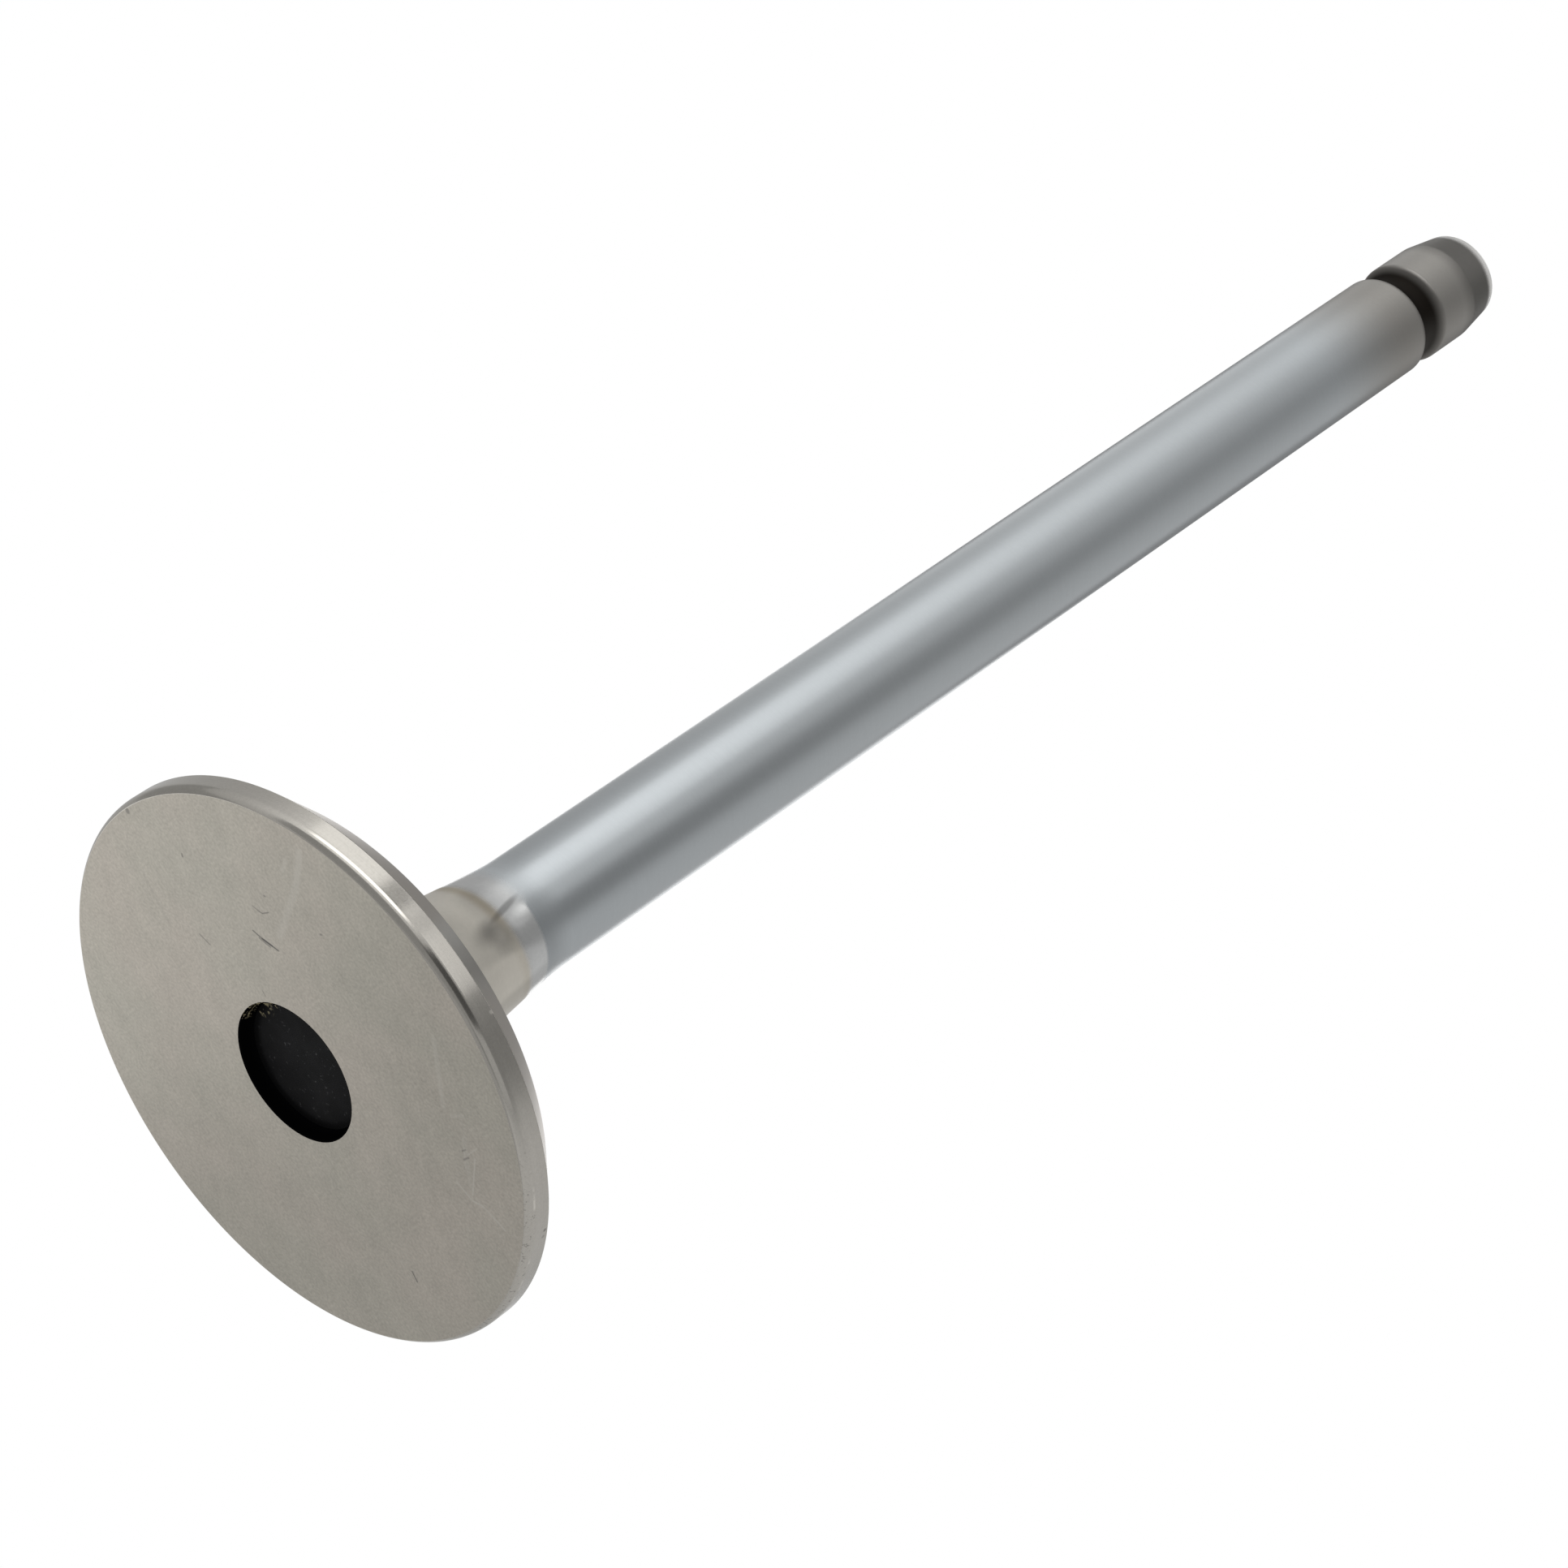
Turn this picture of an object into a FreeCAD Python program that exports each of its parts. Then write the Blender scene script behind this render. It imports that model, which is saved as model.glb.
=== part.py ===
import FreeCAD, Part
import math
import os
import Sketcher

# Engine valve, one solid: a flat head with a shallow central recess, a rounded rim,
# a margin, a conical seat, an underhead sweep into a slender neck, a straight stem,
# one round keeper groove and a tapered tip. It stands on its head: the origin is the
# middle of the combustion face, and the stem runs up +Z. Millimetres and degrees.
sizes = {
    "overall_length": 151.5,
    "head_diameter": 45.5,
    "stem_diameter": 9.45,
    "rim_break_width": 0.4,       # how far in from the margin the rounded rim starts
    "rim_break_height": 0.6,      # how far up the margin it ends
    "margin_height": 1.5,         # straight wall between the rounded rim and the seat
    "seat_width": 2.75,           # measured across, towards the axis
    "seat_angle": 45.0,           # from the plane of the face
    "back_angle": 12.0,           # slope of the underside, from the plane of the face
    "underhead_radius": 14.0,
    "neck_angle": 6.5,            # half angle of the neck, from the axis
    "neck_height": 23.4,          # where the neck's slope meets the stem
    "neck_blend_radius": 20.0,
    "recess_diameter": 11.2,
    "recess_depth": 1.4,
    "recess_floor_radius": 0.6,
    "recess_mouth_radius": 0.15,
    "groove_from_tip": 10.7,      # middle of the keeper groove
    "groove_radius": 1.7,
    "groove_depth": 0.95,
    "groove_edge_radius": 0.5,
    "tip_face_diameter": 8.2,
    "tip_taper_length": 4.2,
    "tip_shoulder_radius": 3.0,
    "tip_edge_radius": 0.5,
}
edge_tolerance = 1e-3             # how closely a round edge must match its place
least_cut = 1.0                   # cubic millimetres that the recess and groove must take away

doc = FreeCAD.newDocument("valve")
sheet = doc.addObject("Spreadsheet::Sheet", "Sizes")
for row, (alias, value) in enumerate(sizes.items(), start=1):
    sheet.set(f"A{row}", alias)
    sheet.set(f"B{row}", str(value))
    sheet.setAlias(f"B{row}", alias)
doc.recompute()

body = doc.addObject("PartDesign::Body", "Valve")
body.Label = "engine_valve"


def origin_plane(role):
    return next(f for f in body.Origin.OriginFeatures if f.Role == role)


def new_sketch(name, role):
    sketch = body.newObject("Sketcher::SketchObject", name)
    sketch.AttachmentSupport = [(origin_plane(role), "")]
    sketch.MapMode = "FlatFace"
    return sketch


def add_size(sketch, name, kind, elements, value, expression):
    """One named dimension of a sketch, bound to the sheet."""
    sketch.addConstraint(Sketcher.Constraint(kind, *elements, value))
    sketch.renameConstraint(sketch.ConstraintCount - 1, name)
    sketch.setExpression(f"Constraints.{name}", expression)


def round_edge_name(feature, point):
    """Name of the round edge that the sketch point (radius, height) sweeps out."""
    for index, edge in enumerate(feature.Shape.Edges, start=1):
        curve = edge.Curve
        if not isinstance(curve, Part.Circle):
            continue
        radius_off = abs(curve.Radius - point.x)
        height_off = abs(curve.Center.z - point.y)
        if max(radius_off, height_off) < edge_tolerance:
            return f"Edge{index}"
    raise RuntimeError(f"no round edge at radius {point.x:.3f}, height {point.y:.3f}")


def round_edges(name, points, radius_alias):
    """Rounds the edges at the given points of the newest feature."""
    base = body.Tip
    fillet = body.newObject("PartDesign::Fillet", name)
    fillet.Base = (base, [round_edge_name(base, point) for point in points])
    fillet.setExpression("Radius", f"Sizes.{radius_alias}")
    doc.recompute()


# Half section of the turned blank: x is the radius and y the height above the face.
# The points run from the middle of the face out to the rim and up to the tip.
start, end, centre = 1, 2, 3
origin = (-1, 1)
normal = FreeCAD.Vector(0, 0, 1)
head_radius = sizes["head_diameter"] / 2
stem_radius = sizes["stem_diameter"] / 2
tip_radius = sizes["tip_face_diameter"] / 2
rim_width = sizes["rim_break_width"]
rim_height = sizes["rim_break_height"]
margin_top = rim_height + sizes["margin_height"]
seat_inner = head_radius - sizes["seat_width"]
seat_top = margin_top + sizes["seat_width"] * math.tan(math.radians(sizes["seat_angle"]))

# The back of the head and the side of the neck are two straight slopes that meet here.
back_slope = math.tan(math.radians(sizes["back_angle"]))
neck_slope = math.tan(math.radians(sizes["neck_angle"]))
foot_radius = stem_radius + neck_slope * (sizes["neck_height"] - seat_top - seat_inner * back_slope)
foot_radius /= 1 - neck_slope * back_slope
foot_height = seat_top + (seat_inner - foot_radius) * back_slope

outline = [
    FreeCAD.Vector(0, 0),
    FreeCAD.Vector(head_radius - rim_width, 0),
    FreeCAD.Vector(head_radius, rim_height),
    FreeCAD.Vector(head_radius, margin_top),
    FreeCAD.Vector(seat_inner, seat_top),
    FreeCAD.Vector(foot_radius, foot_height),
    FreeCAD.Vector(stem_radius, sizes["neck_height"]),
    FreeCAD.Vector(stem_radius, sizes["overall_length"] - sizes["tip_taper_length"]),
    FreeCAD.Vector(tip_radius, sizes["overall_length"]),
    FreeCAD.Vector(0, sizes["overall_length"]),
]
face, rim, margin, seat, back, neck, stem, taper, tip, axis = range(len(outline))

# The rounded rim runs into the margin without a corner, so its centre is level with its end.
rim_radius = (rim_width ** 2 + rim_height ** 2) / (2 * rim_width)
rim_circle = Part.Circle(FreeCAD.Vector(head_radius - rim_radius, rim_height), normal, rim_radius)
rim_start = math.atan2(-rim_height, rim_radius - rim_width)

blank = new_sketch("BlankSection", "XZ_Plane")
for index, point in enumerate(outline):
    if index == rim:
        blank.addGeometry(Part.ArcOfCircle(rim_circle, rim_start, 0))
    else:
        blank.addGeometry(Part.LineSegment(point, outline[(index + 1) % len(outline)]))
for index in range(len(outline)):
    following = (index + 1) % len(outline)
    blank.addConstraint(Sketcher.Constraint("Coincident", index, end, following, start))
blank.addConstraint(Sketcher.Constraint("Coincident", face, start, *origin))
blank.addConstraint(Sketcher.Constraint("Horizontal", face))
blank.addConstraint(Sketcher.Constraint("Horizontal", rim, centre, rim, end))
blank.addConstraint(Sketcher.Constraint("Vertical", margin))
blank.addConstraint(Sketcher.Constraint("Vertical", stem))
blank.addConstraint(Sketcher.Constraint("Horizontal", tip))
blank.addConstraint(Sketcher.Constraint("Vertical", axis))

seat_turn = math.radians(180 - sizes["seat_angle"])
back_turn = math.radians(180 - sizes["back_angle"])
neck_turn = math.radians(90 + sizes["neck_angle"])
blank_sizes = [
    ("head_radius", "DistanceX", (*origin, margin, start), head_radius, "Sizes.head_diameter / 2"),
    ("rim_width", "DistanceX", (rim, start, rim, end), rim_width, "Sizes.rim_break_width"),
    ("rim_height", "DistanceY", (rim, start, rim, end), rim_height, "Sizes.rim_break_height"),
    ("margin", "DistanceY", (margin, start, margin, end), sizes["margin_height"], "Sizes.margin_height"),
    ("seat_width", "DistanceX", (seat, end, seat, start), sizes["seat_width"], "Sizes.seat_width"),
    ("seat_slope", "Angle", (seat,), seat_turn, "(180 - Sizes.seat_angle) * 1 deg"),
    ("back_slope", "Angle", (back,), back_turn, "(180 - Sizes.back_angle) * 1 deg"),
    ("neck_slope", "Angle", (neck,), neck_turn, "(90 + Sizes.neck_angle) * 1 deg"),
    ("stem_radius", "DistanceX", (*origin, stem, start), stem_radius, "Sizes.stem_diameter / 2"),
    ("neck_height", "DistanceY", (*origin, stem, start), sizes["neck_height"], "Sizes.neck_height"),
    ("taper", "DistanceY", (taper, start, taper, end), sizes["tip_taper_length"], "Sizes.tip_taper_length"),
    ("tip_radius", "DistanceX", (*origin, tip, start), tip_radius, "Sizes.tip_face_diameter / 2"),
    ("length", "DistanceY", (*origin, tip, end), sizes["overall_length"], "Sizes.overall_length"),
]
for blank_size in blank_sizes:
    add_size(blank, *blank_size)
doc.recompute()

turning = body.newObject("PartDesign::Revolution", "Turning")
turning.Profile = blank
turning.ReferenceAxis = (blank, ["V_Axis"])
turning.Angle = 360
doc.recompute()

round_edges("UnderheadSweep", [blank.getPoint(neck, start)], "underhead_radius")
round_edges("NeckBlend", [blank.getPoint(stem, start)], "neck_blend_radius")
round_edges("TipShoulder", [blank.getPoint(taper, start)], "tip_shoulder_radius")
round_edges("TipEdge", [blank.getPoint(tip, start)], "tip_edge_radius")
turned_volume = body.Shape.Volume

# Round recess in the middle of the face, cut upwards into the head.
recess_radius = sizes["recess_diameter"] / 2
recess_outline = new_sketch("RecessOutline", "XY_Plane")
recess_outline.addGeometry(Part.Circle(FreeCAD.Vector(), normal, recess_radius))
recess_outline.addConstraint(Sketcher.Constraint("Coincident", 0, centre, *origin))
add_size(recess_outline, "diameter", "Diameter", (0,), sizes["recess_diameter"], "Sizes.recess_diameter")
recess = body.newObject("PartDesign::Pocket", "Recess")
recess.Profile = recess_outline
recess.Reversed = True
recess.setExpression("Length", "Sizes.recess_depth")
doc.recompute()
recessed_volume = body.Shape.Volume
round_edges("RecessFloor", [FreeCAD.Vector(recess_radius, sizes["recess_depth"])], "recess_floor_radius")
round_edges("RecessMouth", [FreeCAD.Vector(recess_radius, 0)], "recess_mouth_radius")

# Round keeper groove near the tip, its circle set into the stem by the groove's depth.
groove_radius = sizes["groove_radius"]
groove_height = sizes["overall_length"] - sizes["groove_from_tip"]
groove_out = groove_radius - sizes["groove_depth"]
groove_centre = FreeCAD.Vector(stem_radius + groove_out, groove_height)
keeper_section = new_sketch("KeeperSection", "XZ_Plane")
keeper_section.addGeometry(Part.Circle(groove_centre, normal, groove_radius))
add_size(keeper_section, "radius", "Radius", (0,), groove_radius, "Sizes.groove_radius")
add_size(keeper_section, "across", "DistanceX", (*origin, 0, centre), groove_centre.x,
         "Sizes.stem_diameter / 2 + Sizes.groove_radius - Sizes.groove_depth")
add_size(keeper_section, "height", "DistanceY", (*origin, 0, centre), groove_centre.y,
         "Sizes.overall_length - Sizes.groove_from_tip")
ungrooved_volume = body.Shape.Volume
groove = body.newObject("PartDesign::Groove", "KeeperGroove")
groove.Profile = keeper_section
groove.ReferenceAxis = (keeper_section, ["V_Axis"])
groove.Angle = 360
doc.recompute()
grooved_volume = body.Shape.Volume
groove_half_width = math.sqrt(groove_radius ** 2 - groove_out ** 2)
round_edges("GrooveEdges", [
    FreeCAD.Vector(stem_radius, groove_height - groove_half_width),
    FreeCAD.Vector(stem_radius, groove_height + groove_half_width),
], "groove_edge_radius")

# Nothing is written unless every object is sound and both cuts took metal away.
for item in doc.Objects:
    if "Invalid" in item.State or "Error" in item.State:
        raise RuntimeError(f"{item.Name} failed: {item.State}")
if body.Shape.isNull() or not body.Shape.isValid() or len(body.Shape.Solids) != 1:
    raise RuntimeError("the valve is not one valid solid")
if recessed_volume > turned_volume - least_cut:
    raise RuntimeError("the recess cut nothing")
if grooved_volume > ungrooved_volume - least_cut:
    raise RuntimeError("the keeper groove cut nothing")

os.makedirs("parts", exist_ok=True)
body.Shape.exportStep(f"parts/{body.Label}.step")
box = body.Shape.optimalBoundingBox()
print(f"volume {body.Shape.Volume:.1f} mm3, {box.XLength:.2f} x {box.YLength:.2f} x {box.ZLength:.2f} mm")
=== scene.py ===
import math

import bpy
import numpy as np
from mathutils import Matrix, Vector


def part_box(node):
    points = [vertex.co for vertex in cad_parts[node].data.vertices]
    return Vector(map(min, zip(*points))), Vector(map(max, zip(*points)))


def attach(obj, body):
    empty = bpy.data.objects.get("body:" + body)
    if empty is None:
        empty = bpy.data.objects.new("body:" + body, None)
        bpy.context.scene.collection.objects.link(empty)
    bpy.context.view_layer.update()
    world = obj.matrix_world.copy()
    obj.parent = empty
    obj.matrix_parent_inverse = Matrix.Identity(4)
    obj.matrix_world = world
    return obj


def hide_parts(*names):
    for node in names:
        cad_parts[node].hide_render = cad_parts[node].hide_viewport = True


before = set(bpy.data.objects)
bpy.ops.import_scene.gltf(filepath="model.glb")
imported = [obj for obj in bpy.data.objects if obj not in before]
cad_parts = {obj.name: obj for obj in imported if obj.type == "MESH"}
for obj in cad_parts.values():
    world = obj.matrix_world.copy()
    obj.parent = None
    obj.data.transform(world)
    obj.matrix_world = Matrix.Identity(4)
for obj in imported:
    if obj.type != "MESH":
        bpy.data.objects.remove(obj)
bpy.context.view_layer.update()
print("frame loaded")

millimetre = 0.001


# small helpers for node trees

def addNode(tree, kind, values=None, **settings):
    # One node. values go to its sockets by name or number, as a plain value or as a link.
    node = tree.nodes.new(kind)
    for setting, value in settings.items():
        setattr(node, setting, value)
    for socket, value in (values or {}).items():
        if isinstance(value, bpy.types.NodeSocket):
            tree.links.new(value, node.inputs[socket])
        else:
            node.inputs[socket].default_value = value
    return node


def maths(tree, operation, first, second=0.0, third=0.0):
    values = {0: first, 1: second, 2: third}
    return addNode(tree, "ShaderNodeMath", values, operation=operation).outputs[0]


def blendColour(tree, factor, first, second):
    # first where factor is 0, second where it is 1. The node's colours are its sockets 6 and 7.
    values = {0: factor, 6: first, 7: second}
    return addNode(tree, "ShaderNodeMix", values, data_type="RGBA").outputs[2]


def fade(tree, value, start, end, low=0.0, high=1.0):
    # Goes smoothly from low at start to high at end.
    values = {0: value, 1: start, 2: end, 3: low, 4: high}
    return addNode(tree, "ShaderNodeMapRange", values, interpolation_type="SMOOTHSTEP").outputs[0]


def band(tree, value, start, end, soft):
    # 1 between start and end, 0 outside, with a fade that reaches soft to each side of both.
    rise = fade(tree, value, start - soft, start + soft)
    fall = fade(tree, value, end - soft, end + soft, 1.0, 0.0)
    return maths(tree, "MULTIPLY", rise, fall)


def swayed(tree, middle, noise, amount):
    # Varies round middle, by amount in all, as the noise goes from 0 to 1.
    return maths(tree, "MULTIPLY_ADD", maths(tree, "SUBTRACT", noise, 0.5), amount, middle)


def grain(tree, place, cells, detail, roughness, stretch=(1, 1, 1), turn=0.0):
    # Noise from 0 to 1 with that many cells a metre, turned about Z, then longer along its axes by stretch.
    values = {0: place, 2: (0, 0, math.radians(turn)), 3: stretch}
    moved = addNode(tree, "ShaderNodeMapping", values, vector_type="TEXTURE")
    values = {"Vector": moved.outputs[0], "Scale": cells, "Detail": detail, "Roughness": roughness}
    return addNode(tree, "ShaderNodeTexNoise", values).outputs[0]


def turningMarks(tree, away, height, cells, detail, roughness):
    # Noise that changes across the marks of turning or grinding and stays the same all the way round.
    across = addNode(tree, "ShaderNodeCombineXYZ", {0: away, 1: height}).outputs[0]
    return grain(tree, across, cells, detail, roughness)


def dimmed(tree, colour, amount):
    # colour times amount
    if not isinstance(colour, bpy.types.NodeSocket):
        colour = colour[:3]
    node = addNode(tree, "ShaderNodeVectorMath", {0: colour, "Scale": amount}, operation="SCALE")
    return node.outputs[0]


def apart(tree, first, second):
    # distance between two places
    node = addNode(tree, "ShaderNodeVectorMath", {0: first, 1: second}, operation="DISTANCE")
    return node.outputs["Value"]


def addBump(tree, shader, lift, strength, depth):
    bump = addNode(tree, "ShaderNodeBump", {"Strength": strength, "Distance": depth, "Height": lift})
    tree.links.new(bump.outputs[0], shader.inputs["Normal"])


def newMaterial(name):
    # A material, its nodes, its shader and the place on the piece.
    material = bpy.data.materials.new(name)
    material.use_nodes = True
    tree = material.node_tree
    shader = tree.nodes["Principled BSDF"]
    place = addNode(tree, "ShaderNodeTexCoord").outputs["Object"]
    return material, tree, shader, place


def roundPlace(tree, place):
    # Distance from the axis, height, and degrees round from the front, -Y, towards +X.
    split = addNode(tree, "ShaderNodeSeparateXYZ", {0: place})
    flat = addNode(tree, "ShaderNodeCombineXYZ", {0: split.outputs[0], 1: split.outputs[1]}).outputs[0]
    away = addNode(tree, "ShaderNodeVectorMath", {0: flat}, operation="LENGTH").outputs["Value"]
    radians = maths(tree, "ARCTAN2", split.outputs[0], maths(tree, "MULTIPLY", split.outputs[1], -1))
    return away, split.outputs[2], maths(tree, "DEGREES", radians)


def patch(tree, angle, height, around, up, wide, tall, lean, core):
    # Oval round the place (around, up) that has faded wide degrees and tall millimetres from its middle.
    # It leans back by that many degrees for each millimetre up, and starts to fade at core of its reach.
    offset = maths(tree, "MULTIPLY_ADD", height, 1 / millimetre, -up)
    across = maths(tree, "SUBTRACT", maths(tree, "MULTIPLY_ADD", offset, lean, angle), around)
    flat = addNode(tree, "ShaderNodeCombineXYZ", {0: maths(tree, "DIVIDE", across, wide),
                                                  1: maths(tree, "DIVIDE", offset, tall)}).outputs[0]
    reach = addNode(tree, "ShaderNodeVectorMath", {0: flat}, operation="LENGTH").outputs["Value"]
    return fade(tree, reach, core, 1.0, 1.0, 0.0)


# valve form, metres and degrees: the sizes of the solid it stands for, its edges worn slightly round
low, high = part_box("engine_valve")
valve = {
    "headRadius": high.x,
    "length": high.z,
    "stemRadius": 0.004725,
    "rimWidth": 0.0004,
    "rimHeight": 0.0006,
    "rimEntry": 0.06,            # radians at the start of the rim's arc that its corner takes up
    "wornHeight": 0.00025,       # above the rim the corner is worn round for this height
    "wornLean": 10.0,            # and leans this much where that starts
    "marginHeight": 0.0015,
    "seatWidth": 0.00275,
    "seatAngle": 45.0,
    "backAngle": 12.0,
    "sweepRadius": 0.014,
    "neckAngle": 6.5,
    "neckHeight": 0.0234,
    "neckBlend": 0.020,
    "recessRadius": 0.0056,
    "recessDepth": 0.0014,
    "recessFloorRadius": 0.0006,
    "recessMouthRadius": 0.00015,
    "grooveFromTip": 0.0107,
    "grooveRadius": 0.0017,
    "grooveDepth": 0.00095,
    "grooveEdge": 0.0005,
    "tipRadius": 0.0041,
    "taperLength": 0.0042,
    "tipShoulder": 0.003,
    "tipEdge": 0.0005,
    "sharpRadius": 0.0001,       # arc on edges that look sharp
    "segments": 360,
    "bendStep": 3.0,             # degrees between points on a bend
    "fewestPoints": 4,           # on a bend
}


def arcPoints(centre, radius, start, end):
    # centre + radius * (cos a, sin a) for a from start to end; the outward normal rides along.
    turn = math.degrees(abs(end - start))
    count = max(valve["fewestPoints"], math.ceil(turn / valve["bendStep"]) + 1)
    angle = np.linspace(start, end, count)
    ray = np.stack([np.cos(angle), np.sin(angle)], axis=1)
    outward = ray if end > start else -ray
    return np.array(centre) + radius * ray, outward


def cornerArc(before, corner, after, radius):
    # Arc of that radius tangent to both straight stretches that meet at corner.
    before, corner, after = (np.array(p, float) for p in (before, corner, after))
    toBefore = (before - corner) / np.linalg.norm(before - corner)
    toAfter = (after - corner) / np.linalg.norm(after - corner)
    half = math.acos(np.clip(toBefore @ toAfter, -1, 1)) / 2
    bisector = (toBefore + toAfter) / np.linalg.norm(toBefore + toAfter)
    centre = corner + bisector * radius / math.sin(half)
    run = radius / math.tan(half)
    first = corner + toBefore * run - centre
    last = corner + toAfter * run - centre
    start = math.atan2(first[1], first[0])
    turn = math.atan2(last[1], last[0]) - start
    turn = (turn + math.pi) % (2 * math.pi) - math.pi
    return arcPoints(centre, radius, start, start + turn)


def grooveArcs(height):
    # Round groove: a hollow arc between two small arcs that run into the stem.
    v = valve
    centre = np.array([v["stemRadius"] + v["grooveRadius"] - v["grooveDepth"], height])
    across = v["stemRadius"] - v["grooveEdge"]
    reach = v["grooveRadius"] + v["grooveEdge"]
    rise = math.sqrt(reach ** 2 - (centre[0] - across) ** 2)
    lean = math.atan2(rise, centre[0] - across)
    lower = arcPoints((across, height - rise), v["grooveEdge"], 0, lean)
    hollow = arcPoints(centre, v["grooveRadius"], math.pi + lean, math.pi - lean)
    upper = arcPoints((across, height + rise), v["grooveEdge"], -lean, 0)
    return [lower, hollow, upper]


def valveOutline():
    # Half section from the recess to the tip as (radius, height) points with their normals: arcs one after
    # another, with a straight stretch from each to the next.
    v = valve
    sharp = v["sharpRadius"]
    seatTop = v["rimHeight"] + v["marginHeight"] + v["seatWidth"] * math.tan(math.radians(v["seatAngle"]))
    seatInner = v["headRadius"] - v["seatWidth"]
    backSlope = math.tan(math.radians(v["backAngle"]))
    neckSlope = math.tan(math.radians(v["neckAngle"]))
    footRadius = v["stemRadius"] + neckSlope * (v["neckHeight"] - seatTop - seatInner * backSlope)
    footRadius /= 1 - neckSlope * backSlope
    foot = (footRadius, seatTop + (seatInner - footRadius) * backSlope)

    wornLean = math.radians(v["wornLean"])
    wornRadius = v["wornHeight"] / math.sin(wornLean)
    wornCentre = (v["headRadius"] - wornRadius, v["rimHeight"] + v["wornHeight"])
    rimTop = (wornCentre[0] + wornRadius * math.cos(wornLean), v["rimHeight"])
    faceEdge = (v["headRadius"] - v["rimWidth"], 0)
    rimAcross = rimTop[0] - faceEdge[0]
    rimTurn = 2 * (math.atan2(rimAcross, v["rimHeight"]) - wornLean)
    rimRadius = math.hypot(rimAcross, v["rimHeight"]) / (2 * math.sin(rimTurn / 2))
    rimCentre = (rimTop[0] - rimRadius * math.cos(wornLean), rimTop[1] + rimRadius * math.sin(wornLean))
    rimStart = -wornLean - rimTurn
    rimOnward = (faceEdge[0] - math.sin(rimStart), math.cos(rimStart))     # straight on, as the rim sets out

    marginTop = (v["headRadius"], v["rimHeight"] + v["marginHeight"])
    seatTopPoint = (seatInner, seatTop)
    neckTop = (v["stemRadius"], v["neckHeight"])
    taperStart = (v["stemRadius"], v["length"] - v["taperLength"])
    tipCorner = (v["tipRadius"], v["length"])
    recessFloor = (v["recessRadius"], v["recessDepth"])
    recessMouth = (v["recessRadius"], 0)

    arcs = [
        cornerArc((0, v["recessDepth"]), recessFloor, recessMouth, v["recessFloorRadius"]),
        cornerArc(recessFloor, recessMouth, faceEdge, v["recessMouthRadius"]),
        cornerArc(recessMouth, faceEdge, rimOnward, sharp),
        arcPoints(rimCentre, rimRadius, rimStart + v["rimEntry"], -wornLean),
        arcPoints(wornCentre, wornRadius, -wornLean, 0),
        cornerArc((v["headRadius"], 0), marginTop, seatTopPoint, sharp),
        cornerArc(marginTop, seatTopPoint, foot, sharp),
        cornerArc(seatTopPoint, foot, neckTop, v["sweepRadius"]),
        cornerArc(foot, neckTop, taperStart, v["neckBlend"]),
        *grooveArcs(v["length"] - v["grooveFromTip"]),
        cornerArc(neckTop, taperStart, tipCorner, v["tipShoulder"]),
        cornerArc(taperStart, tipCorner, (0, v["length"]), v["tipEdge"]),
    ]
    points, normals = zip(*arcs)
    return np.concatenate(points), np.concatenate(normals)


def turnedPiece(name, outline, normals, bottom, top, segments):
    # Surface (r(s) cos t, r(s) sin t, z(s)): the outline s turned through t, closed by a point at each end.
    angle = np.linspace(0, 2 * math.pi, segments, endpoint=False)
    ring = np.stack([np.cos(angle), np.sin(angle)], axis=1)
    rows = len(outline)
    wall = np.empty((rows, segments, 3))
    wall[..., :2] = outline[:, None, :1] * ring
    wall[..., 2] = outline[:, 1:]
    wallNormals = np.empty((rows, segments, 3))
    wallNormals[..., :2] = normals[:, None, :1] * ring
    wallNormals[..., 2] = normals[:, 1:]
    ends = np.array([[0, 0, bottom], [0, 0, top]])
    endNormals = np.array([[0, 0, -1.0], [0, 0, 1.0]])

    here = np.arange(segments)
    beside = (here + 1) % segments
    row = np.arange(rows - 1)[:, None] * segments
    quads = np.stack([row + here, row + beside, row + segments + beside, row + segments + here], axis=-1)
    lowEnd, highEnd = rows * segments, rows * segments + 1
    lastRow = (rows - 1) * segments
    lowFan = np.stack([np.full(segments, lowEnd), beside, here], axis=1)
    highFan = np.stack([np.full(segments, highEnd), lastRow + here, lastRow + beside], axis=1)
    faces = lowFan.tolist() + quads.reshape(-1, 4).tolist() + highFan.tolist()

    mesh = bpy.data.meshes.new(name)
    mesh.from_pydata(np.concatenate([wall.reshape(-1, 3), ends]), [], faces)
    mesh.shade_smooth()
    mesh.normals_split_custom_set_from_vertices(np.concatenate([wallNormals.reshape(-1, 3), endNormals]))
    mesh.update()
    piece = bpy.data.objects.new(name, mesh)
    bpy.context.scene.collection.objects.link(piece)
    return piece


outline, outlineNormals = valveOutline()
body = turnedPiece("valve_metal", outline, outlineNormals, valve["recessDepth"], valve["length"],
                   valve["segments"])
print("valve turned:", len(outline), "rings,", len(body.data.polygons), "faces")


# finishes
# A noise is given as cells a metre, detail and roughness, and its Tone is how much it lightens and darkens.
# A Span or Fade is where something starts and ends, and a bump is its strength and its depth in metres.

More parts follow.
